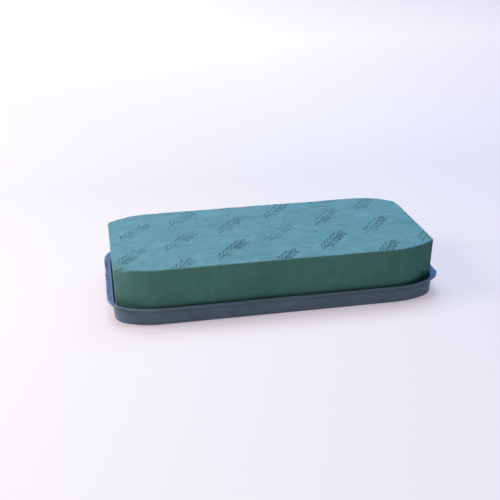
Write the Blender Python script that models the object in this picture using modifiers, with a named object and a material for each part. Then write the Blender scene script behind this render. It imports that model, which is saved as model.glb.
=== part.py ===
"""A dry floral foam block that sits in a shallow moulded plastic tray.

The tray is one moulding: a floor on a low foot, a drafted wall with a rolled rim, an ear at each end to
lift it by, ribs that hold the foam off the floor, and tapered prongs that grip the foam. The foam block has
a socket for each prong and lifts straight up off them. Metres, +Z up, with the origin at the middle of the
tray's base and the length along X.
"""

import math
from typing import NamedTuple

import bmesh
import bpy
from mathutils import Matrix, Vector

MM = 0.001
GAP = 0.3 * MM  # between the foam and the tray, wherever they would touch

# Foam block, at its top face
FOAM_LENGTH = 270.0 * MM
FOAM_WIDTH = 132.2 * MM
SET_HEIGHT = 48.9 * MM  # from the foot of the tray to the top of the foam
FOAM_CORNER_RUN = 40.6 * MM  # where a long side starts to curve in, measured from the end
FOAM_CORNER_RADIUS = 60.2 * MM
FOAM_BLEND = 5.0 * MM  # between the corner arc and the flat end
FOAM_DRAFT = 0.039  # how far a side leans in for each unit of depth
FOAM_EDGE = 0.8 * MM

# Tray, at the outside of its wall where it meets the rim
RIM_HEIGHT = 14.9 * MM
WALL_LENGTH = 273.2 * MM
WALL_WIDTH = 133.8 * MM
WALL_CORNER_RUN = 38.9 * MM
WALL_CORNER_RADIUS = 60.2 * MM
WALL_BLEND = 19.0 * MM
WALL_DRAFT = 1.2 * MM  # how far the wall leans in from the rim to the base
WALL_THICKNESS = 1.1 * MM
BASE_FILLET = 1.0 * MM
BEAD_RADIUS = 1.1 * MM
BEAD_INSET = 0.4 * MM  # the bead's centre line, inwards from the outside of the wall

FOOT_WIDTH = 8.0 * MM  # of the border that the tray stands on, with the fillet outside it
FOOT_SLOPE = 1.0 * MM  # from the border in to the raised middle of the base
FOOT_HEIGHT = 0.6 * MM
RIB_HEIGHT = 1.0 * MM
RIB_WIDTH = 1.6 * MM
RIB_LENGTH = 96.0 * MM
RIB_PITCH = 45.0 * MM

EAR_REACH = 4.4 * MM  # beyond the outside of the wall
EAR_RISE = 2.8 * MM  # from the root of the ear to its edge
EAR_ROOT = 13.2 * MM  # height of its underside at the wall
EAR_THICKNESS = 1.3 * MM
EAR_FADE = (math.radians(50), math.radians(84))  # it dies away where the outline has turned this far

PRONG_PITCH = Vector((90.0 * MM, 60.0 * MM))
PRONG_TIP = 16.0 * MM  # height above the base
PRONG_BASE_RADIUS = 2.6 * MM
PRONG_TIP_RADIUS = 1.1 * MM
PRONG_SIDES = 12

ARC_STEP = math.radians(6)  # the most that an outline turns at one point

SINK = 0.5 * MM  # how far a joined piece starts inside its neighbour
FLOOR_TOP = FOOT_HEIGHT + WALL_THICKNESS
FOAM_BOTTOM = FLOOR_TOP + RIB_HEIGHT + GAP


class Oblong(NamedTuple):
    """An oblong with flat ends, whose long sides curve in at each corner."""

    half_length: float
    half_width: float
    run: float
    radius: float
    blend: float

    def inset(self, distance):
        return Oblong(*(value - distance for value in self))

    def outline(self):
        """Points, anticlockwise, each with the way it faces: at a corner a small arc, then a large one."""
        centre = Vector((self.half_length - self.run, self.half_width - self.radius))
        across = self.run - self.blend
        up = math.sqrt((self.radius - self.blend) ** 2 - across**2)
        blend_centre = centre + Vector((across, up))
        turn = math.atan2(up, across)
        corner = arc(blend_centre, self.blend, 0, turn)[:-1]
        corner += arc(centre, self.radius, turn, math.pi / 2)
        half = corner + [(mirror(p), mirror(n)) for p, n in reversed(corner)]
        return half + [(-p, -n) for p, n in half]

    def points(self):
        return [point for point, _ in self.outline()]


FOAM_TOP = Oblong(FOAM_LENGTH / 2, FOAM_WIDTH / 2, FOAM_CORNER_RUN, FOAM_CORNER_RADIUS, FOAM_BLEND)
WALL_TOP = Oblong(WALL_LENGTH / 2, WALL_WIDTH / 2, WALL_CORNER_RUN, WALL_CORNER_RADIUS, WALL_BLEND)


def arc(centre, radius, start, end):
    steps = math.ceil((end - start) / ARC_STEP)
    angles = [start + (end - start) * i / steps for i in range(steps + 1)]
    facing = [Vector((math.cos(a), math.sin(a))) for a in angles]
    return [(centre + radius * n, n) for n in facing]


def mirror(vector):
    return Vector((-vector.x, vector.y))


def clear_scene():
    for obj in list(bpy.data.objects):
        bpy.data.objects.remove(obj, do_unlink=True)


def new_collection(name):
    collection = bpy.data.collections.new(name)
    bpy.context.scene.collection.children.link(collection)
    return collection


def plastic(name, colour, roughness):
    material = bpy.data.materials.new(name)
    material.use_nodes = True
    shader = material.node_tree.nodes["Principled BSDF"]
    shader.inputs["Base Color"].default_value = (*colour, 1)
    shader.inputs["Roughness"].default_value = roughness
    shader.inputs["Metallic"].default_value = 0
    return material


def object_from(bm, name, collection):
    """The bmesh as a new object, with its faces pointing out."""
    bmesh.ops.recalc_face_normals(bm, faces=bm.faces[:])
    mesh = bpy.data.meshes.new(name)
    bm.to_mesh(mesh)
    bm.free()
    obj = bpy.data.objects.new(name, mesh)
    collection.objects.link(obj)
    return obj


def tool(bm, name, collection):
    """A solid that only joins to a part or cuts it."""
    obj = object_from(bm, name, collection)
    obj.hide_render = True
    obj.display_type = "WIRE"
    return obj


def cut(obj, cutter):
    modifier = obj.modifiers.new("cut_" + cutter.name, "BOOLEAN")
    modifier.operation = "DIFFERENCE"
    modifier.solver = "EXACT"
    modifier.object = cutter


def join_all(obj, collection):
    """Union with every solid of a collection, in one go."""
    modifier = obj.modifiers.new("join_" + collection.name, "BOOLEAN")
    modifier.operation = "UNION"
    modifier.solver = "EXACT"
    modifier.operand_type = "COLLECTION"
    modifier.collection = collection


def drafted_block(lower, upper, bottom, top):
    """An outline face, extruded from bottom to top and scaled to the upper outline's size on the way."""
    bm = bmesh.new()
    base = bm.faces.new([bm.verts.new((p.x, p.y, bottom)) for p in lower.points()])
    extruded = bmesh.ops.extrude_face_region(bm, geom=[base])["geom"]
    scale = Vector((upper.half_length / lower.half_length, upper.half_width / lower.half_width, 1))
    for vert in [item for item in extruded if isinstance(item, bmesh.types.BMVert)]:
        vert.co = Vector((vert.co.x, vert.co.y, top)) * scale
    return bm


def faces_at(bm, height):
    """The level faces at a height."""
    return [f for f in bm.faces if all(abs(v.co.z - height) < 0.01 * MM for v in f.verts)]


def prong_places():
    return [Vector((PRONG_PITCH.x * i, PRONG_PITCH.y * j / 2, 0)) for i in (-1, 0, 1) for j in (-1, 1)]


def cones(bottom, top, clearance):
    """One tapered post at each prong's place, from one height to another, larger all over by a clearance."""
    bm = bmesh.new()
    taper = (PRONG_BASE_RADIUS - PRONG_TIP_RADIUS) / (PRONG_TIP - FLOOR_TOP)

    def radius_at(height):
        return PRONG_TIP_RADIUS + taper * (PRONG_TIP - height) + clearance

    for place in prong_places():
        middle = place + Vector((0, 0, (bottom + top) / 2))
        bmesh.ops.create_cone(
            bm,
            cap_ends=True,
            segments=PRONG_SIDES,
            radius1=radius_at(bottom),
            radius2=radius_at(top),
            depth=top - bottom,
            matrix=Matrix.Translation(middle),
        )
    return bm


def ribs(details):
    bm = bmesh.new()
    for i in (-2.5, -1.5, -0.5, 0.5, 1.5, 2.5):
        place = Vector((RIB_PITCH * i, 0, FLOOR_TOP + (RIB_HEIGHT - SINK) / 2))
        size = Matrix.Diagonal((RIB_WIDTH, RIB_LENGTH, RIB_HEIGHT + SINK, 1))
        bmesh.ops.create_cube(bm, size=1, matrix=Matrix.Translation(place) @ size)
    tool(bm, "floor_ribs", details)


def rim_bead(details):
    """A round rod along the top of the wall: a closed curve with a bevel, made a mesh."""
    line = WALL_TOP.inset(BEAD_INSET).points()
    curve = bpy.data.curves.new("rim_bead", "CURVE")
    curve.dimensions = "3D"
    curve.bevel_depth = BEAD_RADIUS
    curve.bevel_resolution = 1
    spline = curve.splines.new("POLY")
    spline.points.add(len(line) - 1)
    for target, point in zip(spline.points, line):
        target.co = (point.x, point.y, RIM_HEIGHT - BEAD_RADIUS, 1)
    spline.use_cyclic_u = True
    rod = bpy.data.objects.new("rim_bead_curve", curve)
    details.objects.link(rod)
    evaluated = rod.evaluated_get(bpy.context.evaluated_depsgraph_get())
    mesh = bpy.data.meshes.new_from_object(evaluated)
    bpy.data.objects.remove(rod, do_unlink=True)
    bm = bmesh.new()
    bm.from_mesh(mesh)
    bmesh.ops.remove_doubles(bm, verts=bm.verts[:], dist=0.01 * MM)
    tool(bm, "rim_bead", details)


def ear_share(facing):
    """How much of an ear there is where the outline faces this way: all of it at an end, none at a side."""
    start, end = EAR_FADE
    turn = math.atan2(abs(facing.y), abs(facing.x))
    left = min(max((end - turn) / (end - start), 0), 1)
    return left * left * (3 - 2 * left)


def ears(details):
    """A flange lofted along the wall's outline: hidden in the rim bead but for the ends, where it flares."""
    bm = bmesh.new()
    sections = []
    for point, facing in WALL_TOP.outline():
        share = ear_share(facing)
        root = point - facing * WALL_THICKNESS / 2
        edge = point + facing * EAR_REACH * share
        rise = EAR_RISE * share
        corners = [(root, 0), (edge, rise), (edge, rise + EAR_THICKNESS), (root, EAR_THICKNESS)]
        sections.append([bm.verts.new((p.x, p.y, EAR_ROOT + z)) for p, z in corners])
    for section, following in zip(sections, sections[1:] + sections[:1]):
        for i in range(4):
            j = (i + 1) % 4
            bm.faces.new((section[i], section[j], following[j], following[i]))
    tool(bm, "ears", details)


def tray(parts, details):
    shell_top = RIM_HEIGHT - BEAD_RADIUS
    bm = drafted_block(WALL_TOP.inset(WALL_DRAFT), WALL_TOP, 0, shell_top)
    bmesh.ops.delete(bm, geom=faces_at(bm, shell_top), context="FACES_ONLY")
    bmesh.ops.recalc_face_normals(bm, faces=bm.faces[:])
    base = faces_at(bm, 0)
    outer_edge = list(base[0].edges)
    for border in (FOOT_WIDTH, FOOT_SLOPE):
        bmesh.ops.inset_region(bm, faces=base, thickness=border, use_even_offset=True)
    for vert in base[0].verts:
        vert.co.z = FOOT_HEIGHT
    bmesh.ops.bevel(bm, geom=outer_edge, offset=BASE_FILLET, segments=4, profile=0.5, affect="EDGES")
    obj = object_from(bm, "tray", parts)
    solidify = obj.modifiers.new("wall", "SOLIDIFY")
    solidify.thickness = WALL_THICKNESS
    solidify.offset = -1
    solidify.use_even_offset = True
    rim_bead(details)
    ears(details)
    ribs(details)
    tool(cones(FLOOR_TOP - SINK, PRONG_TIP, 0), "prongs", details)
    join_all(obj, details)
    obj.data.materials.append(plastic("tray_plastic", (0.096, 0.155, 0.203), 0.42))
    return obj


def foam_block(parts, cutters):
    """The block's origin is at the middle of its underside, on the line that it lifts along."""
    height = SET_HEIGHT - FOAM_BOTTOM
    bm = drafted_block(FOAM_TOP.inset(FOAM_DRAFT * height), FOAM_TOP, 0, height)
    obj = object_from(bm, "foam_block", parts)
    obj.location.z = FOAM_BOTTOM
    edges = obj.modifiers.new("soft_edges", "BEVEL")
    edges.width = FOAM_EDGE
    edges.segments = 2
    edges.limit_method = "ANGLE"
    edges.angle_limit = math.radians(50)
    sockets = cones(FOAM_BOTTOM - SINK, PRONG_TIP + 2 * GAP, GAP)
    cut(obj, tool(sockets, "prong_sockets", cutters))
    obj.data.materials.append(plastic("dry_foam", (0.068, 0.185, 0.157), 0.95))
    return obj


def main():
    clear_scene()
    parts = new_collection("floral_foam_tray_set")
    details = new_collection("tray_details")
    cutters = new_collection("cutters")
    tray(parts, details)
    foam_block(parts, cutters)


main()
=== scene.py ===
"""The looks of the floral foam tray set: a detailed foam block and tray in place of the two CAD nodes.

Lengths are in metres in the CAD's frame: +X along the tray, +Z up, origin at the middle of its base.
"""

import math  # noqa: E402

import bmesh  # noqa: E402
import bpy  # noqa: E402
import numpy as np  # noqa: E402
from mathutils import Matrix, Vector, kdtree, noise  # noqa: E402

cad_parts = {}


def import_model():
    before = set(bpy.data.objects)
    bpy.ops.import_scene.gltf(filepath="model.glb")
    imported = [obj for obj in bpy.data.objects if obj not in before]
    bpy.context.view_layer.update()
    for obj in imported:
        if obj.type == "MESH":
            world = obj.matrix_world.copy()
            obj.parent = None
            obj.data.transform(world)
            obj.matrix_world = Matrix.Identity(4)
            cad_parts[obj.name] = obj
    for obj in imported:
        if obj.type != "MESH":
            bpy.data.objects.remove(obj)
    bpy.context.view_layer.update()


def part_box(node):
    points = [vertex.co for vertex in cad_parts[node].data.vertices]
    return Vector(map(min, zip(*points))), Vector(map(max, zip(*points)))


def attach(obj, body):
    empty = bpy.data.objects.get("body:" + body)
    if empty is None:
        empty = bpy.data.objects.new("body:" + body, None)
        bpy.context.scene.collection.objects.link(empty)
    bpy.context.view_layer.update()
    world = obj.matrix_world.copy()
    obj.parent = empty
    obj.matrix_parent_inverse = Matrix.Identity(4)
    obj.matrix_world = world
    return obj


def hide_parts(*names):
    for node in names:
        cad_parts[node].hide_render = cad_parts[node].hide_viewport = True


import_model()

MM = 0.001
FOAM_LOW, FOAM_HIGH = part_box("foam_block")

# Foam block
FOAM_TOP = FOAM_HIGH.z
FOAM_BOTTOM = FOAM_LOW.z
FOAM_CORNER = (40.6 * MM, 60.2 * MM, 5.0 * MM)  # the run, radius and blend of Oblong
FOAM_DRAFT = 0.039  # how far a side leans in for each unit of depth
FOAM_EDGE = 1.2 * MM  # rounding of the top edge
FOAM_FOOT_EDGE = 0.8 * MM  # bevel round the bottom
FOAM_WAIST = 1.1 * MM  # how far the long sides curve in where they go down into the tray
FOAM_BULGE = 0.5 * MM  # how far the ends stand out there
FOAM_STEP = 1.2 * MM  # spacing of the mesh
FOAM_RING_STEP = 1.4 * MM  # spacing of the rings down the sides
FOAM_COLOUR = (0.068, 0.185, 0.157)

# Wear of the block
WORN_CORNER = np.array((131 * MM, 52 * MM))  # the far right one is rubbed; the one opposite is crushed
FAR_ROUNDING = 1.7 * MM  # how far the rubbed corner is drawn in
CRUSH_RADIUS = 5.0 * MM  # how round the top edge is at the crushed corner
CRUSH_REACH = (4 * MM, 17 * MM)  # from the corner: fully crushed up to the first, sound from the second
CRUSH_DENT = 0.6 * MM  # how far the sides are pushed in there
CRUMB_DEPTH = 0.6 * MM
CRUMB_SIZE = 3.4 * MM
GOUGE = Vector((126.0 * MM, -55.0 * MM, 20.8 * MM))  # in the side, near the right end
GOUGE_DEPTH = 2.6 * MM
GOUGE_REACH = (2.6 * MM, 9 * MM, 1.6 * MM)  # along the side, into it and up
GOUGE_TURN = (0.84, 0.54)  # the way the side runs there, in plan

# Relief of the block, each as (depth, wavelength, offset of the noise, octaves)
EDGE_SAG = (0.28 * MM, 38 * MM, 3.1, 2)
EDGE_DIPS = (0.1 * MM, 9 * MM, 8.7, 2)
TOP_STREAKS = (0.13 * MM, (14 * MM, 4.5 * MM, 1), 1.7, 3)
TOP_WAVES = (0.05 * MM, (60 * MM, 26 * MM, 1), 5.2, 1)
SIDE_STREAKS = (0.07 * MM, (3.2 * MM, 60 * MM, 1), 11.0, 2)
SIDE_WAVES = (0.16 * MM, (45 * MM, 30 * MM, 1), 23.0, 1)
SIDE_BLOTCHES = (0.06 * MM, (6 * MM, 5 * MM, 1), 31.0, 2)

# Tray
TRAY_HALF_LENGTH = 136.6 * MM
TRAY_HALF_WIDTH = 66.9 * MM
TRAY_CORNER = (38.9 * MM, 60.2 * MM, 19.0 * MM)  # the run, radius and blend of Oblong
TRAY_STEP = 1.6 * MM  # spacing of the mesh round its corners
TRAY_COLOUR = (0.096, 0.155, 0.203)
RIM_HEIGHT = 14.9 * MM
WALL_DRAFT = 1.2 * MM  # how far the wall leans in from the bead to the base
WALL_THICKNESS = 1.1 * MM
BEAD_RADIUS = 0.95 * MM
BEAD_INSET = 0.4 * MM
BEAD_CENTRE = RIM_HEIGHT - BEAD_RADIUS
GROOVE = ((10.6, 0.1), (11.4, 0.42), (12.2, 0.74), (12.9, 0.78))  # under the rim: height and depth in mm
BASE_FILLET = 1.0 * MM
INNER_FILLET = 1.4 * MM
FOOT_MIDDLE = 6.5 * MM  # a line round the border that it stands on, from the outside of the wall
FOOT_INNER = 9.2 * MM  # the inside of that border
FOOT_SLOPE = 1.0 * MM
FOOT_HEIGHT = 0.6 * MM
FLOOR_TOP = FOOT_HEIGHT + WALL_THICKNESS
EAR_REACH = 4.4 * MM
EAR_FADE = (math.radians(50), math.radians(84))  # it dies away where the outline has turned this far
EAR_ROUGHNESS = (0.08, 0.05)  # how far its edge falls short, out and up, for each unit of reach
# The edge of an ear in section, as (inset, height) in mm: out along its underside, round, and back over it
EAR = (
    (0.5, 12.72), (0.2, 12.95), (-0.25, 13.3), (-0.9, 13.76), (-2.0, 14.47), (-3.1, 15.17), (-3.8, 15.62),
    (-4.12, 15.86), (-4.32, 16.1), (-4.39, 16.4), (-4.39, 16.85), (-4.3, 17.1), (-4.1, 17.2), (-3.7, 17.02),
    (-2.6, 16.34), (-1.4, 15.58), (-0.5, 14.98), (0.0, 14.8), (0.4, 14.9),
)
RIB_PITCH = 45.0 * MM
RIB_SIZE = (1.6 * MM, 96.0 * MM, 1.0 * MM)
RIB_END_RADIUS = 0.75 * MM
RIB_CREST_RADIUS = 0.3 * MM
PRONG_PITCH = (90.0 * MM, 60.0 * MM)
PRONG_TIP = 16.0 * MM
PRONG_BASE_RADIUS = 2.6 * MM
PRONG_TIP_RADIUS = 1.1 * MM
PRONG_TIP_ROUND = 1.0 * MM
PRONG_FILLET = 0.8 * MM
PRONG_TAPER = (PRONG_BASE_RADIUS - PRONG_TIP_RADIUS) / (PRONG_TIP - FLOOR_TOP)
CLEARANCE = 0.3 * MM
SUNK = 0.4 * MM  # how deep the ribs and the prongs go into the floor, to join it

# Studio
BACKDROP = (0.84, 0.84, 0.93)  # what shows beyond the floor
# the glow of the floor near the block, painted light that lifts the shadows round it
FLOOR_GLOW = (0.42, 0.37, 0.45)
CAMERA_PLACE = (-0.1359, -0.6909, 0.3218)
CAMERA_HEADING, CAMERA_DOWN, CAMERA_ROLL = (math.radians(a) for a in (-10.0, 22.5, -1.0))
CAMERA_LENS = 62.3
CAMERA_SENSOR = 36.0

# The sprigs pressed into the foam, in rows that repeat over its top
SPRIG_ANGLE = math.radians(54)
SPRIG_START = Vector((-112, 20)) * MM
# from a sprig to the next in its row, to the same place two rows on, and to the row between
SPRIG_STEPS = (Vector((86, 1)) * MM, Vector((8.5, 57)) * MM, Vector((45.5, 27.5)) * MM)
STEM_LENGTH = 46 * MM
LEAF_LENGTH = 9 * MM
LEAF_WIDTH = 3.4 * MM
LEAF_PITCH = 3.5 * MM
LEAF_LEAN = math.radians(35)
STROKE_WIDTH = 1.2 * MM
STROKE_DEPTH = 1.1 * MM
SPRIG_SEED = 7
SPRIG_ROOM = 14 * MM  # a sprig is left out if its middle is further than this off the top
SPRIG_MARGIN = 2 * MM  # round a sprig, when the points that it reaches are looked for

PLAIN = (1.0, 1.0, 1.0)


# ---------------------------------------------------------------- outlines


class Oblong:
    """An oblong with flat ends, whose long sides curve in at each corner.

    The corner starts at the flat end with a small arc, of radius blend. A large arc, of the given radius,
    goes on to the long side, and its centre is the run in from the end.
    """

    def __init__(self, half_length, half_width, run, radius, blend):
        self.half_length, self.half_width = half_length, half_width
        self.radius, self.blend = radius, blend
        self.centre = np.array([half_length - run, half_width - radius])
        across = run - blend
        up = math.sqrt((radius - blend) ** 2 - across**2)
        self.blend_centre = self.centre + (across, up)
        self.turn = math.atan2(up, across)

    def quarter(self, step, blend_steps):
        """Points and facings from the end of the flat end to where the long side starts."""
        small = np.linspace(0, self.turn, blend_steps + 1)[:-1]
        count = math.ceil(self.radius * (math.pi / 2 - self.turn) / step)
        large = np.linspace(self.turn, math.pi / 2, count + 1)
        facing = np.array([(math.cos(a), math.sin(a)) for a in (*small, *large)])
        points = np.vstack(
            [
                self.blend_centre + self.blend * facing[: len(small)],
                self.centre + self.radius * facing[len(small) :],
            ]
        )
        return points, facing

    def outline(self, step, blend_steps, middle_steps, end_steps):
        """Points and facings all the way round, and how many of them the first side has. They run over the
        +Y side from right to left, down the left end, back along the -Y side and up the right end."""
        outer, facing = self.quarter(step, blend_steps)
        middle = np.linspace(self.centre[0], -self.centre[0], middle_steps + 1)[1:-1]
        straight = np.column_stack([middle, np.full(len(middle), self.half_width)])
        side = np.vstack([outer, straight, outer[::-1] * (-1, 1)])
        turned = np.vstack([facing, np.tile((0.0, 1.0), (len(middle), 1)), facing[::-1] * (-1, 1)])
        down = outer[0][1] * np.linspace(1, -1, end_steps + 1)[1:-1]
        left = np.column_stack([np.full(len(down), -self.half_length), down])
        at_left = np.tile((-1.0, 0.0), (len(down), 1))
        points = np.vstack([side, left, side[::-1] * (1, -1), -left])
        facings = np.vstack([turned, at_left, turned[::-1] * (1, -1), -at_left])
        return points, facings, len(side)


def smoothstep(low, high, value):
    t = np.clip((value - low) / (high - low), 0, 1)
    return t * t * (3 - 2 * t)


def fade(low, high, value):
    """1 up to low, 0 from high."""
    return 1 - smoothstep(low, high, value)


def ripple(points, size, offset, octaves=2):
    """Smooth noise, about -1 to 1, at each point; size is the wavelength, or one for each axis."""
    return np.array(
        [
            noise.fractal(Vector(p), 1.0, 2.0, octaves, noise_basis="PERLIN_ORIGINAL")
            for p in points / np.array(size, float) + offset
        ]
    )


def relief(points, depth, size, offset, octaves):
    return depth * ripple(points, size, offset, octaves)


def dips(points, depth, size, offset, octaves):
    """Relief that is never below 0."""
    return depth * (1 + ripple(points, size, offset, octaves))


def object_from(bm, name):
    bmesh.ops.recalc_face_normals(bm, faces=bm.faces[:])
    mesh = bpy.data.meshes.new(name)
    bm.to_mesh(mesh)
    bm.free()
    obj = bpy.data.objects.new(name, mesh)
    bpy.context.scene.collection.objects.link(obj)
    return obj


def boolean(obj, other, operation):
    """Applies a boolean with the other object, and removes that one."""
    modifier = obj.modifiers.new(operation.lower(), "BOOLEAN")
    modifier.operation = operation
    modifier.solver = "MANIFOLD"
    modifier.object = other
    evaluated = obj.evaluated_get(bpy.context.evaluated_depsgraph_get())
    mesh = bpy.data.meshes.new_from_object(evaluated)
    obj.modifiers.clear()
    obj.data = mesh
    bpy.data.objects.remove(other, do_unlink=True)


def finish_mesh(obj, angle):
    """Smooth shading, with edges sharper than the angle kept crisp."""
    mesh = obj.data
    mesh.polygons.foreach_set("use_smooth", np.ones(len(mesh.polygons), bool))
    mesh.set_sharp_from_angle(angle=math.radians(angle))
    mesh.update()


def coordinates(mesh):
    co = np.zeros(len(mesh.vertices) * 3)
    mesh.vertices.foreach_get("co", co)
    return co.reshape(-1, 3)


def store(obj, name, values):
    """Keeps a value for each vertex, for the material to read."""
    attribute = obj.data.attributes.new(name, "FLOAT", "POINT")
    attribute.data.foreach_set("value", values.astype(np.float32))


def settle_order(bm):
    """Sorts by position, because bevels leave vertices and faces in an order that changes between runs."""
    across = Vector((1.0, 0.6180, 0.3777))
    bm.verts.sort(key=lambda vert: vert.co.dot(across))
    bm.faces.sort(key=lambda face: face.calc_center_median().dot(across))


def prong_places():
    return [(PRONG_PITCH[0] * i, PRONG_PITCH[1] * j / 2) for i in (-1, 0, 1) for j in (-1, 1)]


def prong_radius(height):
    return PRONG_TIP_RADIUS + PRONG_TAPER * (PRONG_TIP - height)


def lathe(bm, place, profile, sides=32):
    """A closed solid turned round a vertical line, from (radius, height) pairs that go upward."""
    turns = [2 * math.pi * k / sides for k in range(sides)]
    rings = []
    for radius, height in profile:
        spots = [(place[0] + radius * math.cos(a), place[1] + radius * math.sin(a), height) for a in turns]
        rings.append([bm.verts.new(spot) for spot in spots])
    for ring, following in zip(rings, rings[1:]):
        for k in range(sides):
            n = (k + 1) % sides
            bm.faces.new((ring[k], ring[n], following[n], following[k]))
    bm.faces.new(rings[0][::-1])
    bm.faces.new(rings[-1])


# ---------------------------------------------------------------- foam block


def sprig_strokes():
    """Each sprig's strokes, as an array of segments (x0, y0, x1, y1)."""
    along = np.array([math.cos(SPRIG_ANGLE), math.sin(SPRIG_ANGLE)])
    across = np.array([-along[1], along[0]])

    def leaf(base, lean):
        """Both edges of a leaf."""
        ahead = math.cos(lean) * along + math.sin(lean) * across
        aside = np.array([-ahead[1], ahead[0]])
        u = np.linspace(0, 1, 9)
        belly = LEAF_WIDTH / 2 * np.sin(math.pi * u) ** 0.85
        lines = []
        for side in (-1, 1):
            points = base + np.outer(u * LEAF_LENGTH, ahead) + np.outer(side * belly, aside)
            lines.append(np.hstack([points[:-1], points[1:]]))
        return lines

    half = STEM_LENGTH / 2
    tip = half - LEAF_LENGTH
    lines = [np.array([[*(-half * along), *(tip * along)]])]
    lines += leaf(tip * along, 0)
    side, position = 1, LEAF_PITCH - half
    while position < tip - 1 * MM:
        lines += leaf(position * along, side * LEAF_LEAN)
        side, position = -side, position + LEAF_PITCH
    sprig = np.vstack(lines)

    sprigs = []
    for j in range(-3, 4):
        for i in range(-2, 5):
            for k in (0, 1):
                place = SPRIG_START + SPRIG_STEPS[0] * i + SPRIG_STEPS[1] * j + SPRIG_STEPS[2] * k
                if abs(place.x) < FOAM_HIGH.x + SPRIG_ROOM and abs(place.y) < FOAM_HIGH.y + SPRIG_ROOM:
                    sprigs.append(sprig + np.array([*place, *place]))
    return sprigs


def near_sprig(points, sprig):
    """The indices of the points inside the sprig's bounding box, or close round it."""
    ends = sprig.reshape(-1, 2)
    inside = (points > ends.min(0) - SPRIG_MARGIN) & (points < ends.max(0) + SPRIG_MARGIN)
    return np.where(inside.all(1))[0]


def stroke_distance(points, segments):
    """Distance from each point to the nearest segment."""
    a, b = segments[:, :2], segments[:, 2:]
    ab = b - a
    rel = points[:, None, :] - a[None]
    t = np.clip((rel * ab).sum(2) / (ab * ab).sum(1), 0, 1)
    return np.linalg.norm(rel - t[..., None] * ab, axis=2).min(1)


def foam_grid(shape):
    """The block before it is worn: a grid over the top, rings down the side and a face below.
    Returns a bmesh, with the outline's points and facings round the top."""
    straight = math.ceil(2 * shape.centre[0] / FOAM_STEP)
    rows = 2 * round(shape.half_width / FOAM_STEP)
    share = np.linspace(-1, 1, rows + 1)
    loop, facings, count = shape.outline(FOAM_STEP, 5, straight, rows)

    depth = FOAM_TOP - FOAM_BOTTOM
    turns = [math.pi / 2 * k / 4 for k in range(5)]
    profile = [(FOAM_EDGE * (1 - math.sin(a)), FOAM_EDGE * (1 - math.cos(a))) for a in turns]
    rings = math.ceil((depth - FOAM_EDGE - FOAM_FOOT_EDGE) / FOAM_RING_STEP)
    for z in np.linspace(FOAM_EDGE, depth - FOAM_FOOT_EDGE, rings + 1)[1:]:
        profile.append((0, z))
    profile += [(0.25 * FOAM_FOOT_EDGE, depth - 0.3 * FOAM_FOOT_EDGE), (FOAM_FOOT_EDGE, depth)]

    bm = bmesh.new()
    loops = []
    for inset, z in profile:
        flat = loop - facings * (inset + FOAM_DRAFT * z)
        loops.append([bm.verts.new((x, y, FOAM_TOP - z)) for x, y in flat])
    for upper, lower in zip(loops, loops[1:]):
        for i in range(len(upper)):
            j = (i + 1) % len(upper)
            bm.faces.new((upper[i], lower[i], lower[j], upper[j]))
    bm.faces.new(loops[-1])

    # the top: each column runs from the loop's -Y side to its +Y side
    rim = loops[0]
    columns = []
    for c in range(count):
        high = rim[c]
        low = rim[2 * count + len(share) - 3 - c]
        if c == 0:
            between = rim[2 * count + len(share) - 2 :]
        elif c == count - 1:
            between = rim[count : count + len(share) - 2][::-1]
        else:
            between = [bm.verts.new((high.co.x, t * high.co.y, FOAM_TOP)) for t in share[1:-1]]
        columns.append([low, *between, high])
    for left, right in zip(columns, columns[1:]):
        for r in range(len(share) - 1):
            bm.faces.new((left[r], left[r + 1], right[r + 1], right[r]))
    return bm, loop, facings


def refine(bm, chosen, cuts):
    edges = dict.fromkeys(e for f in chosen for e in f.edges)
    bmesh.ops.subdivide_edges(bm, edges=list(edges), cuts=cuts, use_grid_fill=True)


def refine_details(bm, sprigs):
    """Finer faces under the strokes of the sprigs, and finer still round the gouge."""
    top = [f for f in bm.faces if f.normal.z > 0.9 or all(v.co.z > FOAM_TOP - 1e-6 for v in f.verts)]
    centres = np.array([f.calc_center_median()[:2] for f in top])
    stroked = np.zeros(len(top), bool)
    for sprig in sprigs:
        near = near_sprig(centres, sprig)
        if len(near):
            stroked[near] |= stroke_distance(centres[near], sprig) < 1.25 * MM
    gouged = [f for f in bm.faces if (f.calc_center_median() - GOUGE).length < 7 * MM]
    refine(bm, [f for f, take in zip(top, stroked) if take], 2)
    refine(bm, [f for f in gouged if f.is_valid], 4)


class Points:
    """The block's vertices as arrays: where each is, and how it lies to the outline and the worn corners."""

    def __init__(self, mesh, loop, facings):
        self.co = coordinates(mesh)
        self.depth = FOAM_TOP - self.co[:, 2]
        self.top = self.co[:, 2] > FOAM_TOP - 1e-6
        self.flat = self.co * (1, 1, 0)

        tree = kdtree.KDTree(len(loop))
        for i, point in enumerate(loop):
            tree.insert((*point, 0), i)
        tree.balance()
        _, nearest, inset = zip(*(tree.find((x, y, 0)) for x, y, _ in self.co))
        steps = np.linalg.norm(np.diff(loop, axis=0, append=loop[:1]), axis=1)
        travelled = np.concatenate([[0], np.cumsum(steps)[:-1]])
        self.inset = np.array(inset)
        self.facing = facings[list(nearest)]
        self.along = travelled[list(nearest)]

        near_left = np.linalg.norm(self.co[:, :2] + WORN_CORNER, axis=1)
        self.crush = fade(*CRUSH_REACH, near_left * (1 + 0.2 * ripple(self.flat, 6 * MM, 12.0)))
        far_right = np.linalg.norm(self.co[:, :2] - WORN_CORNER, axis=1)
        self.rubbed = fade(2 * MM, 14 * MM, far_right)
        self.crumbs = CRUMB_DEPTH * smoothstep(0.3, 0.8, ripple(self.flat, CRUMB_SIZE, 17.3, 3))


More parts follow.
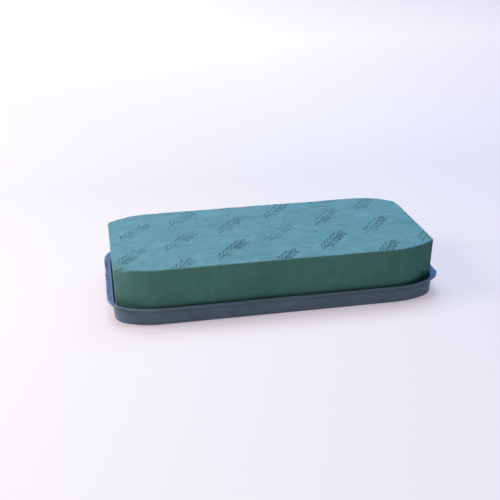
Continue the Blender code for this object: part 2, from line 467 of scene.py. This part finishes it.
def lowering(at):
    """How far each point goes down. The top edge sags and crumbles, one corner is crushed, and streaks run
    along the top."""
    sag = dips(at.flat, *EDGE_SAG) + dips(at.flat, *EDGE_DIPS)
    lowered = sag * fade(1 * MM, 9 * MM, at.inset) * fade(0, 7 * MM, at.depth)
    worn = np.clip(1 - at.inset / CRUSH_RADIUS, 0, 1)
    lowered += CRUSH_RADIUS * (1 - np.sqrt(1 - worn**2 * 0.96)) * at.crush * fade(0, 14 * MM, at.depth)
    lowered += at.crumbs * fade(0.3 * MM, 2.2 * MM, at.inset) * fade(0, 2.5 * MM, at.depth)
    # the foot stays where it is
    lowered = np.where(at.top, lowered, lowered * fade(30 * MM, FOAM_TOP - FOAM_BOTTOM, at.depth))

    streaks = dips(at.flat, *TOP_STREAKS) + dips(at.flat, *TOP_WAVES)
    return lowered + np.where(at.top, streaks, streaks * fade(0, 3 * MM, at.depth))


def pressing(at, sprigs):
    """How deep the sprigs are pressed in at each point; some are fainter, and each is uneven."""
    pressed = np.zeros(len(at.co))
    strengths = np.random.default_rng(SPRIG_SEED).uniform(0.6, 1.0, len(sprigs))
    wear = ripple(at.flat, 17 * MM, 40.0)
    for sprig, strength in zip(sprigs, strengths):
        near = near_sprig(at.co[:, :2], sprig)
        near = near[at.top[near]]
        if not len(near):
            continue
        distance = stroke_distance(at.co[near, :2], sprig)
        groove = fade(0.18 * STROKE_WIDTH, 0.72 * STROKE_WIDTH, distance)
        force = strength * np.clip(0.85 + 0.7 * wear[near], 0.3, 1.0)
        pressed[near] = np.maximum(pressed[near], STROKE_DEPTH * force * groove)
    return pressed * smoothstep(0, 1.6 * MM, at.inset)


def gouging(co):
    """How deep the small gouge in the side is at each point."""
    x, y, z = (co - np.array(GOUGE)).T
    across = x * GOUGE_TURN[0] + y * GOUGE_TURN[1]
    inward = y * GOUGE_TURN[0] - x * GOUGE_TURN[1]
    along_reach, in_reach, up_reach = GOUGE_REACH
    reach = np.sqrt((across / along_reach) ** 2 + (z / up_reach) ** 2 + (inward / in_reach) ** 2)
    ragged = 1 + 0.4 * ripple(co, 1.6 * MM, 2.0)
    return GOUGE_DEPTH * fade(0.35, 1.0, reach * ragged)


def swelling(at):
    """How far each point moves out, the way the outline faces. Streaks run down the sides, the sides are
    drawn in at the rim, and the gouge and the worn corners go inward."""
    height = at.co[:, 2]
    strip = np.column_stack([at.along, height, np.zeros(len(at.co))])
    swell = relief(strip, *SIDE_STREAKS) + relief(strip, *SIDE_WAVES) + relief(strip, *SIDE_BLOTCHES)
    swell = np.minimum(swell - 0.08 * MM, 0)
    swell -= 0.5 * at.crumbs * fade(0.5 * MM, 2.5 * MM, at.depth)
    swell *= smoothstep(0, 6 * MM, height - FOAM_BOTTOM)

    at_end = smoothstep(0.9, 1.0, np.abs(at.facing[:, 0]))
    swell += FOAM_BULGE * at_end * fade(RIM_HEIGHT, RIM_HEIGHT + 14 * MM, height)
    at_side = smoothstep(0.45, 0.95, np.abs(at.facing[:, 1]))
    swell -= FOAM_WAIST * at_side * fade(RIM_HEIGHT - 3 * MM, RIM_HEIGHT + 13 * MM, height)
    swell -= gouging(at.co)

    swell = np.where(at.top, 0, swell)
    swell -= CRUSH_DENT * at.crush * fade(2 * MM, 10 * MM, at.depth)
    return swell - FAR_ROUNDING * at.rubbed * fade(0, 9 * MM, at.inset)


def cut_sockets(obj):
    """A blind socket for each prong, with clearance."""
    bm = bmesh.new()
    heights = (FOAM_BOTTOM - 0.5 * MM, PRONG_TIP + 2 * CLEARANCE)
    for place in prong_places():
        lathe(bm, place, [(prong_radius(z) + CLEARANCE, z) for z in heights])
    boolean(obj, object_from(bm, "sockets"), "DIFFERENCE")


def foam_body():
    bm, loop, facings = foam_grid(Oblong(FOAM_HIGH.x, FOAM_HIGH.y, *FOAM_CORNER))
    sprigs = sprig_strokes()
    refine_details(bm, sprigs)
    obj = object_from(bm, "foam_body")

    at = Points(obj.data, loop, facings)
    pressed = pressing(at, sprigs)
    moved = at.co.copy()
    moved[:, 2] -= lowering(at) + pressed
    moved[:, :2] += at.facing * swelling(at)[:, None]
    obj.data.vertices.foreach_set("co", moved.ravel())
    store(obj, "top_share", fade(0, 1.0 * MM, at.depth))
    store(obj, "pressed", pressed / STROKE_DEPTH)
    obj.data.update()

    cut_sockets(obj)
    finish_mesh(obj, 60)
    return obj


# ---------------------------------------------------------------- tray


def ear_share(facing):
    """1 where the outline faces along the tray, easing to 0 where an ear has died away into the bead."""
    start, end = EAR_FADE
    turn = np.arctan2(np.abs(facing[:, 1]), np.abs(facing[:, 0]))
    share = fade(start, end, turn)
    bead = BEAD_RADIUS - BEAD_INSET
    return np.clip((EAR_REACH * share - bead) / (EAR_REACH - bead), 0, 1)


def tray_profile():
    """The section of the moulding as (inset, height) pairs, from under its middle, out along the foot, up the
    wall, over the rim and down inside to the floor. It comes as two arrays whose rows match: with the plain
    bead, and with an ear."""
    lean = math.atan2(WALL_DRAFT, BEAD_CENTRE)

    def wall(height):
        return WALL_DRAFT * (1 - height / BEAD_CENTRE)

    def foot_step(height):
        """The soft step between the border that it stands on and the middle, from the inside out."""
        return [
            (FOOT_INNER + FOOT_SLOPE + 0.25 * MM, height + FOOT_HEIGHT),
            (FOOT_INNER + FOOT_SLOPE - 0.05 * MM, height + FOOT_HEIGHT - 0.03 * MM),
            (FOOT_INNER + 0.15 * MM, height + 0.05 * MM),
            (FOOT_INNER - 0.15 * MM, height),
            (FOOT_MIDDLE, height),
        ]

    def bead_arc(angles):
        return [
            (BEAD_INSET - BEAD_RADIUS * math.cos(a), BEAD_CENTRE + BEAD_RADIUS * math.sin(a)) for a in angles
        ]

    centre = wall(BASE_FILLET) + BASE_FILLET / math.cos(lean)
    outside = foot_step(0)
    outside += [
        (centre - BASE_FILLET * math.cos(a), BASE_FILLET * (1 + math.sin(a)))
        for a in np.linspace(-math.pi / 2, -lean, 7)
    ]
    outside += [(wall(z), z) for z in np.linspace(2.5 * MM, 9.0 * MM, 6)]
    outside += [(wall(z * MM) + deep * MM, z * MM) for z, deep in GROOVE]

    start = -math.acos((BEAD_INSET - 0.5 * MM) / BEAD_RADIUS)
    bead = bead_arc(np.linspace(start, math.pi / 2, len(EAR)))
    ear = [(inset * MM, z * MM) for inset, z in EAR]

    end = math.pi + math.acos((wall(13 * MM) + WALL_THICKNESS - BEAD_INSET) / BEAD_RADIUS)
    thick = WALL_THICKNESS / math.cos(lean)
    corner = wall(INNER_FILLET) + thick + INNER_FILLET
    inside = bead_arc(np.linspace(math.pi / 2, end, 13)[1:])
    inside += [(wall(z) + thick, z) for z in np.linspace(12.5 * MM, 4 * MM, 5)]
    inside += [
        (corner - INNER_FILLET * math.cos(a), WALL_THICKNESS + INNER_FILLET * (1 - math.sin(a)))
        for a in np.linspace(0.1, math.pi / 2, 6)
    ]
    inside += foot_step(WALL_THICKNESS)[::-1]
    return np.array(outside + bead + inside), np.array(outside + ear + inside)


def tray_shell():
    """The floor, foot, wall, bead and ears, as one closed mesh: the section, carried round the outline."""
    shape = Oblong(TRAY_HALF_LENGTH, TRAY_HALF_WIDTH, *TRAY_CORNER)
    points, facings, _ = shape.outline(TRAY_STEP, 14, 59, 23)
    plain, eared = tray_profile()
    edge_noise = ripple(np.column_stack([points, np.zeros(len(points))]), 7 * MM, 4.4, 3)

    bm = bmesh.new()
    sections = []
    for point, facing, share, rough in zip(points, facings, ear_share(facings), edge_noise):
        section = plain + (eared - plain) * share
        # the ear's edge is a little uneven, and only ever falls short
        beyond = np.clip(-section[:, 0] - 1 * MM, 0, None)
        section[:, 0] += beyond * EAR_ROUGHNESS[0] * (1 + rough)
        section[:, 1] -= beyond * EAR_ROUGHNESS[1] * (1 + rough)
        sections.append([bm.verts.new((*(point - facing * inset), max(z, 0))) for inset, z in section])
    for section, following in zip(sections, sections[1:] + sections[:1]):
        for a, b, c, d in zip(section, section[1:], following[1:], following):
            bm.faces.new((a, b, c, d))
    bm.faces.new([section[0] for section in sections])
    bm.faces.new([section[-1] for section in reversed(sections)])
    return object_from(bm, "tray_moulding")


def add_rib(bm, x):
    """A low bar across the floor, with rounded ends and a rounded crest, that holds the foam up."""
    width, length, height = RIB_SIZE
    place = Matrix.Translation((x, 0, FLOOR_TOP + (height - SUNK) / 2))
    size = Matrix.Diagonal((width, length, height + SUNK, 1))
    made = bmesh.ops.create_cube(bm, size=1, matrix=place @ size)
    edges = dict.fromkeys(e for v in made["verts"] for e in v.link_edges)
    upright = [e for e in edges if abs(e.verts[0].co.z - e.verts[1].co.z) > SUNK]
    rounded = bmesh.ops.bevel(
        bm, geom=upright, offset=RIB_END_RADIUS, segments=4, profile=0.5, affect="EDGES", clamp_overlap=True
    )
    edges = dict.fromkeys(e for f in rounded["faces"] for v in f.verts for e in v.link_edges)
    crest = [e for e in edges if all(v.co.z > FLOOR_TOP + height - 1e-6 for v in e.verts)]
    outline = [e for e in crest if any(abs(f.normal.z) < 0.5 for f in e.link_faces)]
    bmesh.ops.bevel(bm, geom=outline, offset=RIB_CREST_RADIUS, segments=3, profile=0.5, affect="EDGES")


def add_prong(bm, place):
    """A tapered spike with a fillet at its foot and a rounded tip, that grips the foam."""
    profile = [(PRONG_BASE_RADIUS + 1.0 * MM, FLOOR_TOP - SUNK)]
    for a in np.linspace(0, math.pi / 2, 6):
        radius = PRONG_BASE_RADIUS + PRONG_FILLET * (1 - math.sin(a))
        profile.append((radius, FLOOR_TOP + PRONG_FILLET * (1 - math.cos(a))))
    shoulder = PRONG_TIP - PRONG_TIP_ROUND
    for z in np.linspace(FLOOR_TOP + 2 * MM, shoulder, 5):
        profile.append((prong_radius(z), z))
    for a in np.linspace(0.3, 1.45, 5):
        profile.append((PRONG_TIP_RADIUS * math.cos(a), shoulder + PRONG_TIP_ROUND * math.sin(a)))
    lathe(bm, place, profile)


def tray_moulding():
    obj = tray_shell()
    co = coordinates(obj.data)
    beyond = smoothstep(TRAY_HALF_LENGTH - 0.4 * MM, TRAY_HALF_LENGTH + 1.9 * MM, np.abs(co[:, 0]))
    store(obj, "ear", beyond * smoothstep(12 * MM, 14 * MM, co[:, 2]))

    bm = bmesh.new()
    for i in (-2.5, -1.5, -0.5, 0.5, 1.5, 2.5):
        add_rib(bm, RIB_PITCH * i)
    for place in prong_places():
        add_prong(bm, place)
    settle_order(bm)
    boolean(obj, object_from(bm, "ribs_and_prongs"), "UNION")
    finish_mesh(obj, 35)
    return obj


# ---------------------------------------------------------------- materials


class Nodes:
    """Short calls for a material's node tree."""

    def __init__(self, name):
        self.material = bpy.data.materials.new(name)
        self.material.use_nodes = True
        self.tree = self.material.node_tree
        self.shader = self.tree.nodes["Principled BSDF"]
        self.place = self.new("ShaderNodeTexCoord").outputs["Object"]

    def new(self, kind, **settings):
        node = self.tree.nodes.new(kind)
        for name, value in settings.items():
            setattr(node, name, value)
        return node

    def link(self, source, target):
        self.tree.links.new(source, target)

    def stretched(self, kind, scale, stretch, offset=0.0):
        """A texture node of the kind, on object coordinates scaled by stretch."""
        mapping = self.new("ShaderNodeMapping")
        mapping.inputs["Scale"].default_value = stretch
        mapping.inputs["Location"].default_value = (offset, offset, offset)
        self.link(self.place, mapping.inputs["Vector"])
        node = self.new(kind)
        node.inputs["Scale"].default_value = scale
        self.link(mapping.outputs["Vector"], node.inputs["Vector"])
        return node

    def noise(self, scale, detail, stretch=(1, 1, 1), offset=0.0, distortion=0.0):
        node = self.stretched("ShaderNodeTexNoise", scale, stretch, offset)
        node.inputs["Detail"].default_value = detail
        node.inputs["Distortion"].default_value = distortion
        return node.outputs["Fac"]

    def cells(self, scale):
        return self.stretched("ShaderNodeTexVoronoi", scale, (1, 1, 1)).outputs["Distance"]

    def attribute(self, name):
        return self.new("ShaderNodeAttribute", attribute_name=name).outputs["Fac"]

    def fill(self, socket, value):
        """Sets a socket to a number or a colour, or links an output to it."""
        if isinstance(value, bpy.types.NodeSocket):
            self.link(value, socket)
        elif isinstance(value, tuple):
            socket.default_value = (*value, 1)
        else:
            socket.default_value = value

    def math(self, operation, a, b):
        node = self.new("ShaderNodeMath", operation=operation)
        self.fill(node.inputs[0], a)
        self.fill(node.inputs[1], b)
        return node.outputs["Value"]

    def span(self, value, low, high, to_low=0.0, to_high=1.0):
        """The value's range from low to high, taken to another range and held at its ends."""
        node = self.new("ShaderNodeMapRange")
        for name, number in (("From Min", low), ("From Max", high), ("To Min", to_low), ("To Max", to_high)):
            node.inputs[name].default_value = number
        self.link(value, node.inputs["Value"])
        return node.outputs["Result"]

    def band(self, value, start, full, still, end):
        """0 up to start, 1 from full to still, and 0 from end."""
        return self.math("MULTIPLY", self.span(value, start, full), self.span(value, still, end, 1.0, 0.0))

    def mix(self, share, a, b, blend="MIX"):
        """A mix of two colours, each a tuple or an output."""
        node = self.new("ShaderNodeMix", data_type="RGBA", blend_type=blend)
        sockets = {s.identifier: s for s in node.inputs}
        self.fill(sockets["Factor_Float"], share)
        self.fill(sockets["A_Color"], a)
        self.fill(sockets["B_Color"], b)
        return next(s for s in node.outputs if s.identifier == "Result_Color")

    def multiply(self, a, b):
        return self.mix(1.0, a, b, "MULTIPLY")

    def tint(self, colour, share, low, high):
        """The colour, multiplied by a mix of low and high."""
        return self.multiply(colour, self.mix(share, low, high))

    def bump(self, height, distance, strength, below=None):
        node = self.new("ShaderNodeBump")
        node.inputs["Strength"].default_value = strength
        node.inputs["Distance"].default_value = distance
        self.link(height, node.inputs["Height"])
        if below is not None:
            self.link(below, node.inputs["Normal"])
        return node.outputs["Normal"]


def scaled(colour, factor):
    return tuple(c * factor for c in colour)


def swing_between(amount):
    """The darkest and the lightest tint of streaks with this much contrast."""
    swing = (1.2 * amount, amount, 0.9 * amount)
    return tuple(1 - c for c in swing), tuple(1 + c for c in swing)


def foam_material():
    """Dead matt open-cell foam, with streaks along its top and down its sides."""
    m = Nodes("dry_foam")
    on_top = m.attribute("top_share")
    pressed = m.attribute("pressed")
    blotches = m.noise(22, 2)
    mottle = m.noise(85, 3, (0.7, 1, 1), 12.0)
    top_streaks = m.noise(280, 5, (0.33, 1, 1), 3.0, 1.6)
    side_streaks = m.noise(230, 3, (1, 1, 0.06), 7.0)
    grain = m.noise(1400, 3, offset=5.0)
    pores = m.cells(1500)

    colour = m.mix(m.span(blotches, 0.3, 0.7), scaled(FOAM_COLOUR, 0.94), scaled(FOAM_COLOUR, 1.06))
    down = m.mix(m.span(side_streaks, 0.3, 0.7), *swing_between(0.05))
    across = m.mix(m.span(top_streaks, 0.3, 0.7), *swing_between(0.16))
    colour = m.multiply(colour, m.mix(on_top, down, across))
    colour = m.tint(colour, m.span(mottle, 0.35, 0.65), (0.93, 0.95, 0.955), (1.07, 1.05, 1.045))
    colour = m.tint(colour, m.span(grain, 0.35, 0.65), (0.93, 0.93, 0.93), (1.06, 1.06, 1.06))
    # the rounded top edge is painted paler, a painted highlight; the pressed lines are painted darker,
    # painted shade in their grooves, with painted highlights on their pale ridges
    colour = m.tint(colour, m.band(on_top, 0.02, 0.5, 0.5, 0.98), PLAIN, (1.14, 1.11, 1.09))
    colour = m.tint(colour, pressed, PLAIN, (0.56, 0.62, 0.65))
    colour = m.tint(colour, m.band(pressed, 0.0, 0.2, 0.25, 0.55), PLAIN, (1.2, 1.16, 1.14))
    m.link(colour, m.shader.inputs["Base Color"])
    m.link(m.span(grain, 0.3, 0.7, 0.86, 0.98), m.shader.inputs["Roughness"])
    m.shader.inputs["Specular IOR Level"].default_value = 0.08

    top_relief = m.math("MULTIPLY", top_streaks, on_top)
    side_relief = m.math("MULTIPLY", side_streaks, m.math("SUBTRACT", 1.0, on_top))
    fine = m.bump(pores, 0.00025, 0.55)
    fine = m.bump(grain, 0.0003, 0.5, fine)
    lines = m.bump(m.math("ADD", top_relief, side_relief), 0.001, 0.6, fine)
    m.link(lines, m.shader.inputs["Normal"])
    return m.material


def tray_material():
    """Satin moulded plastic that lets a little light in, scuffed on the ears and painted paler there as
    painted light.
    """
    m = Nodes("tray_plastic")
    on_ear = m.attribute("ear")
    clouds = m.noise(55, 3, distortion=0.6)
    flow = m.noise(120, 3, (0.3, 1, 1), 2.0, 1.0)
    scuffs = m.noise(260, 5, (1, 1, 1), 6.0, 0.5)
    specks = m.noise(900, 2, offset=9.0)

    colour = m.mix(m.span(clouds, 0.32, 0.68), scaled(TRAY_COLOUR, 0.93), scaled(TRAY_COLOUR, 1.08))
    colour = m.tint(colour, m.span(flow, 0.35, 0.65), (0.95, 0.95, 0.96), (1.05, 1.05, 1.04))
    # painted light: the ears are painted paler all over; the scuffs below are wear
    colour = m.tint(colour, on_ear, PLAIN, (1.25, 1.27, 1.25))
    scuffed = m.mix(m.span(scuffs, 0.42, 0.58), (0.5, 0.54, 0.62), (1.4, 1.36, 1.25))
    colour = m.tint(colour, on_ear, PLAIN, scuffed)
    m.link(colour, m.shader.inputs["Base Color"])
    m.link(m.span(flow, 0.3, 0.7, 0.36, 0.5), m.shader.inputs["Roughness"])
    m.shader.inputs["Specular IOR Level"].default_value = 0.2
    m.shader.inputs["Subsurface Weight"].default_value = 0.5
    m.shader.inputs["Subsurface Radius"].default_value = (1, 1, 1)
    m.shader.inputs["Subsurface Scale"].default_value = 0.002

    fine = m.bump(specks, 0.0001, 0.35)
    m.link(m.bump(clouds, 0.0006, 0.3, fine), m.shader.inputs["Normal"])
    return m.material


# ---------------------------------------------------------------- studio


def floor():
    """A wide pale sheet that fades into the backdrop far out. It is painted paler far out and a little darker
    to the right, and glows near the block: painted light and shade.
    """
    bm = bmesh.new()
    bmesh.ops.create_grid(bm, x_segments=8, y_segments=8, size=6)
    obj = object_from(bm, "studio_floor")
    m = Nodes("studio_floor")
    place = m.new("ShaderNodeSeparateXYZ")
    m.link(m.place, place.inputs["Vector"])
    across, away = place.outputs["X"], place.outputs["Y"]
    length = m.new("ShaderNodeVectorMath", operation="LENGTH")
    m.link(m.place, length.inputs[0])
    horizon = m.span(length.outputs["Value"], 3.0, 5.5)

    # painted light and shade: the sheet is painted paler far out and a little darker to the right
    near = m.mix(m.span(across, -0.35, 0.45), (0.25, 0.30, 0.193), (0.207, 0.235, 0.176))
    far = m.mix(m.span(across, 0.2, 1.1), (0.51, 0.54, 0.36), (0.31, 0.35, 0.25))
    sheet = m.mix(m.span(away, 0.3, 1.3), near, far)
    m.link(m.mix(horizon, sheet, (0.0, 0.0, 0.0)), m.shader.inputs["Base Color"])
    # painted light: near the block the floor glows, which lifts the shadows round it and lights it from below
    m.link(m.mix(horizon, FLOOR_GLOW, BACKDROP), m.shader.inputs["Emission Color"])
    m.shader.inputs["Emission Strength"].default_value = 1.0
    m.shader.inputs["Roughness"].default_value = 0.9
    m.shader.inputs["Specular IOR Level"].default_value = 0.1
    obj.data.materials.append(m.material)


def light(kind, name, power, colour, toward):
    """A light that shines the way of toward."""
    data = bpy.data.lights.new(name, kind)
    data.energy = power
    data.color = colour
    obj = bpy.data.objects.new(name, data)
    bpy.context.scene.collection.objects.link(obj)
    obj.rotation_euler = Vector(toward).to_track_quat("-Z", "Y").to_euler()
    return obj


def sun(name, direction, strength, colour, angle):
    light("SUN", name, strength, colour, direction).data.angle = math.radians(angle)


def panel(name, place, size, power, colour):
    """A square soft light that faces the object."""
    obj = light("AREA", name, power, colour, -Vector(place))
    obj.data.size = size
    obj.location = place


def world(glow, seen):
    """One colour lights the scene, and a paler one shows behind it."""
    made = bpy.data.worlds.new("studio")
    bpy.context.scene.world = made
    made.use_nodes = True
    tree = made.node_tree
    lit = tree.nodes["Background"]
    lit.inputs["Color"].default_value = (*glow, 1)
    shown = tree.nodes.new("ShaderNodeBackground")
    shown.inputs["Color"].default_value = (*seen, 1)
    path = tree.nodes.new("ShaderNodeLightPath")
    mix = tree.nodes.new("ShaderNodeMixShader")
    tree.links.new(path.outputs["Is Camera Ray"], mix.inputs["Fac"])
    tree.links.new(lit.outputs["Background"], mix.inputs[1])
    tree.links.new(shown.outputs["Background"], mix.inputs[2])
    tree.links.new(mix.outputs["Shader"], tree.nodes["World Output"].inputs["Surface"])


def camera():
    data = bpy.data.cameras.new("camera")
    data.lens = CAMERA_LENS
    data.sensor_width = CAMERA_SENSOR
    data.clip_start = 0.01
    data.clip_end = 50
    obj = bpy.data.objects.new("camera", data)
    bpy.context.scene.collection.objects.link(obj)
    heading = Matrix.Rotation(CAMERA_HEADING, 4, "Z")
    tilt = Matrix.Rotation(math.pi / 2 - CAMERA_DOWN, 4, "X")
    roll = Matrix.Rotation(CAMERA_ROLL, 4, "Z")
    obj.matrix_world = Matrix.Translation(CAMERA_PLACE) @ heading @ tilt @ roll
    bpy.context.scene.camera = obj


foam = foam_body()
foam.data.materials.clear()
foam.data.materials.append(foam_material())
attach(foam, "foam")
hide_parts("foam_block")

moulding = tray_moulding()
moulding.data.materials.clear()
moulding.data.materials.append(tray_material())
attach(moulding, "tray")
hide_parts("tray")

floor()
sun("overhead", (0.06, -0.3, -1.0), 5.4, (0.65, 0.63, 1.0), 42)
panel("window", (-0.75, 0.05, 0.6), 0.45, 10.0, (1.0, 0.64, 0.77))
panel("lamp", (-0.7, -0.7, 0.5), 0.4, 2.5, (1.0, 0.68, 0.58))
panel("sky", (0.35, 0.35, 0.75), 0.5, 4.3, (0.24, 0.48, 1.0))
world((0.05, 0.09, 0.085), BACKDROP)
camera()
bpy.context.scene.view_settings.view_transform = "Standard"
